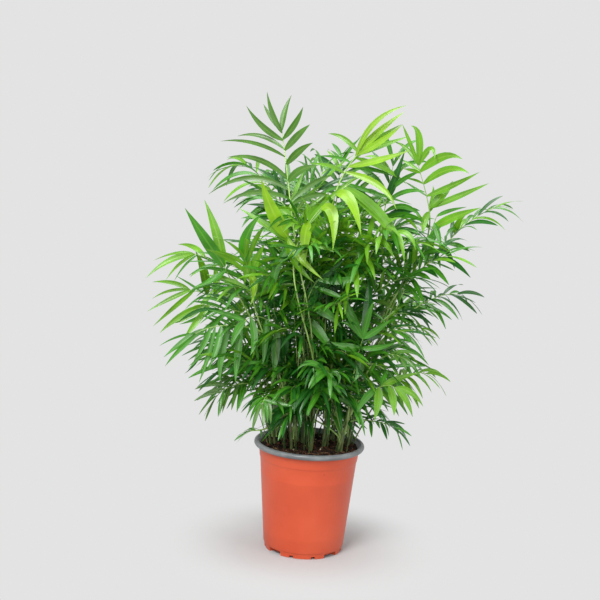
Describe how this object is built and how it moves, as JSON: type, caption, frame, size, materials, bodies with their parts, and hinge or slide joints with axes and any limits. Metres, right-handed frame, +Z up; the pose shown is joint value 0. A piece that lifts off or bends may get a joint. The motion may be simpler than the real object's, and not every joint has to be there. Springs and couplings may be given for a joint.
{
  "type": "parlour palm in nursery pot",
  "caption": "Young parlour palm: a clump of thin canes with feathery arching fronds, standing in a tapered plastic nursery pot with a rolled rim, filled with soil",
  "frame": {"origin": "centre of the pot's flat underside, where the pot stands on a shelf or floor", "axes": "+Z up along the pot's axis, -Y towards the viewer of the picture, +X to the viewer's right"},
  "size_m": [0.4691, 0.3271, 0.5774],
  "materials": {
    "pot_plastic": "satin moulded plastic, terracotta orange",
    "rim_plastic": "satin moulded plastic, dark grey",
    "soil": "moist crumbly potting soil with bark fibres",
    "cane": "smooth green cane with pale sheaths",
    "leaf_young": "young leaf, yellow green, soft gloss",
    "leaf_bright": "leaf, bright green, soft gloss",
    "leaf_middle": "leaf, middle green, soft gloss",
    "leaf_dark": "leaf, dark green, soft gloss",
    "leaf_old": "older leaf, dull green, brownish tips"
  },
  "bodies": {
    "root": {"frond_back_high_1": "leaf_middle", "frond_back_high_2": "leaf_middle", "frond_back_high_3": "leaf_middle", "frond_back_low_1": "leaf_dark", "frond_back_low_2": "leaf_dark", "frond_back_low_3": "leaf_dark", "frond_back_middle_1": "leaf_middle", "frond_back_middle_2": "leaf_middle", "frond_back_middle_3": "leaf_middle", "frond_back_middle_4": "leaf_middle", "frond_back_middle_5": "leaf_middle", "frond_back_middle_6": "leaf_middle", "frond_centre_dark": "leaf_dark", "frond_centre_fan": "leaf_dark", "frond_centre_left": "leaf_bright", "frond_centre_low": "leaf_middle", "frond_centre_right": "leaf_bright", "frond_front_bright": "leaf_young", "frond_front_low_1": "leaf_dark", "frond_front_low_2": "leaf_dark", "frond_left_bottom": "leaf_old", "frond_left_broad": "leaf_middle", "frond_left_fan": "leaf_middle", "frond_left_hang": "leaf_middle", "frond_left_low_front": "leaf_old", "frond_left_lower": "leaf_bright", "frond_left_mid": "leaf_bright", "frond_left_seedling": "leaf_middle", "frond_left_upper": "leaf_bright", "frond_right_arch": "leaf_middle", "frond_right_broad": "leaf_middle", "frond_right_dark": "leaf_dark", "frond_right_front": "leaf_bright", "frond_right_hanging": "leaf_middle", "frond_right_inner": "leaf_middle", "frond_right_light": "leaf_bright", "frond_right_low": "leaf_bright", "frond_right_lowest": "leaf_dark", "frond_right_mid": "leaf_middle", "frond_right_small": "leaf_old", "frond_top_bright": "leaf_young", "frond_top_left": "leaf_middle", "frond_top_left_back": "leaf_middle", "frond_top_middle": "leaf_middle", "frond_top_right": "leaf_bright", "frond_upper_right": "leaf_middle", "frond_young_left": "leaf_young", "pot": "pot_plastic", "pot_rim": "rim_plastic", "soil": "soil", "stem_01": "cane", "stem_02": "cane", "stem_03": "cane", "stem_04": "cane", "stem_05": "cane", "stem_06": "cane", "stem_07": "cane", "stem_08": "cane", "stem_09": "cane", "stem_10": "cane"}
  },
  "joints": []
}
